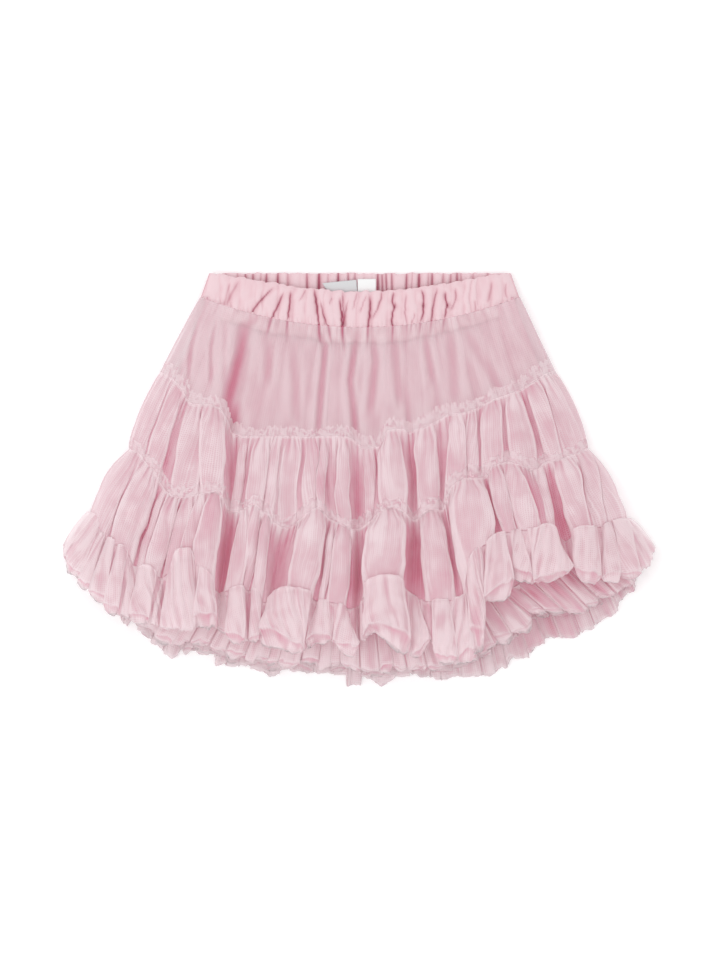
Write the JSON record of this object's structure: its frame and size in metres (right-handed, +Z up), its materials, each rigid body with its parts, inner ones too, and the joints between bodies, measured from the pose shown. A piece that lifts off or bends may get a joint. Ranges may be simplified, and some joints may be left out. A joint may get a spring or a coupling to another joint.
{
  "type": "tulle skirt",
  "caption": "Child's pull-on tulle skirt laid flat, front up: elastic waist, gathered tulle tiers, doubled hem ruffle, inner tulle skirt and opaque lining.",
  "frame": {"origin": "under the middle of the skirt's box, on the surface that it lies on", "axes": "+X across the skirt, to the right when it is looked down on with the waist away from you; +Y from hem to waist; +Z up from the surface"},
  "size_m": [0.416, 0.2913, 0.0452],
  "materials": {
    "poplin": "smooth woven cloth, slight sheen",
    "lining": "smooth opaque lining",
    "tulle": "soft see-through tulle, matt",
    "ruffle_tulle": "doubled soft tulle, matt",
    "label_grey": "woven label, satin",
    "label_white": "woven label, satin"
  },
  "bodies": {
    "root": {"casing_front": "poplin", "casing_back": "poplin", "allowance_front": "poplin", "allowance_back": "poplin", "lining_front": "lining", "lining_back": "lining", "yoke_front": "tulle", "yoke_back": "tulle", "tier_2_front": "tulle", "tier_2_back": "tulle", "tier_3_front": "tulle", "tier_3_back": "tulle", "ruffle_front": "ruffle_tulle", "ruffle_back": "ruffle_tulle", "inner_front": "tulle", "inner_back": "tulle", "inner_ruffle_front": "ruffle_tulle", "inner_ruffle_back": "ruffle_tulle", "label_fold": "label_grey", "label_size": "label_white"}
  },
  "joints": []
}
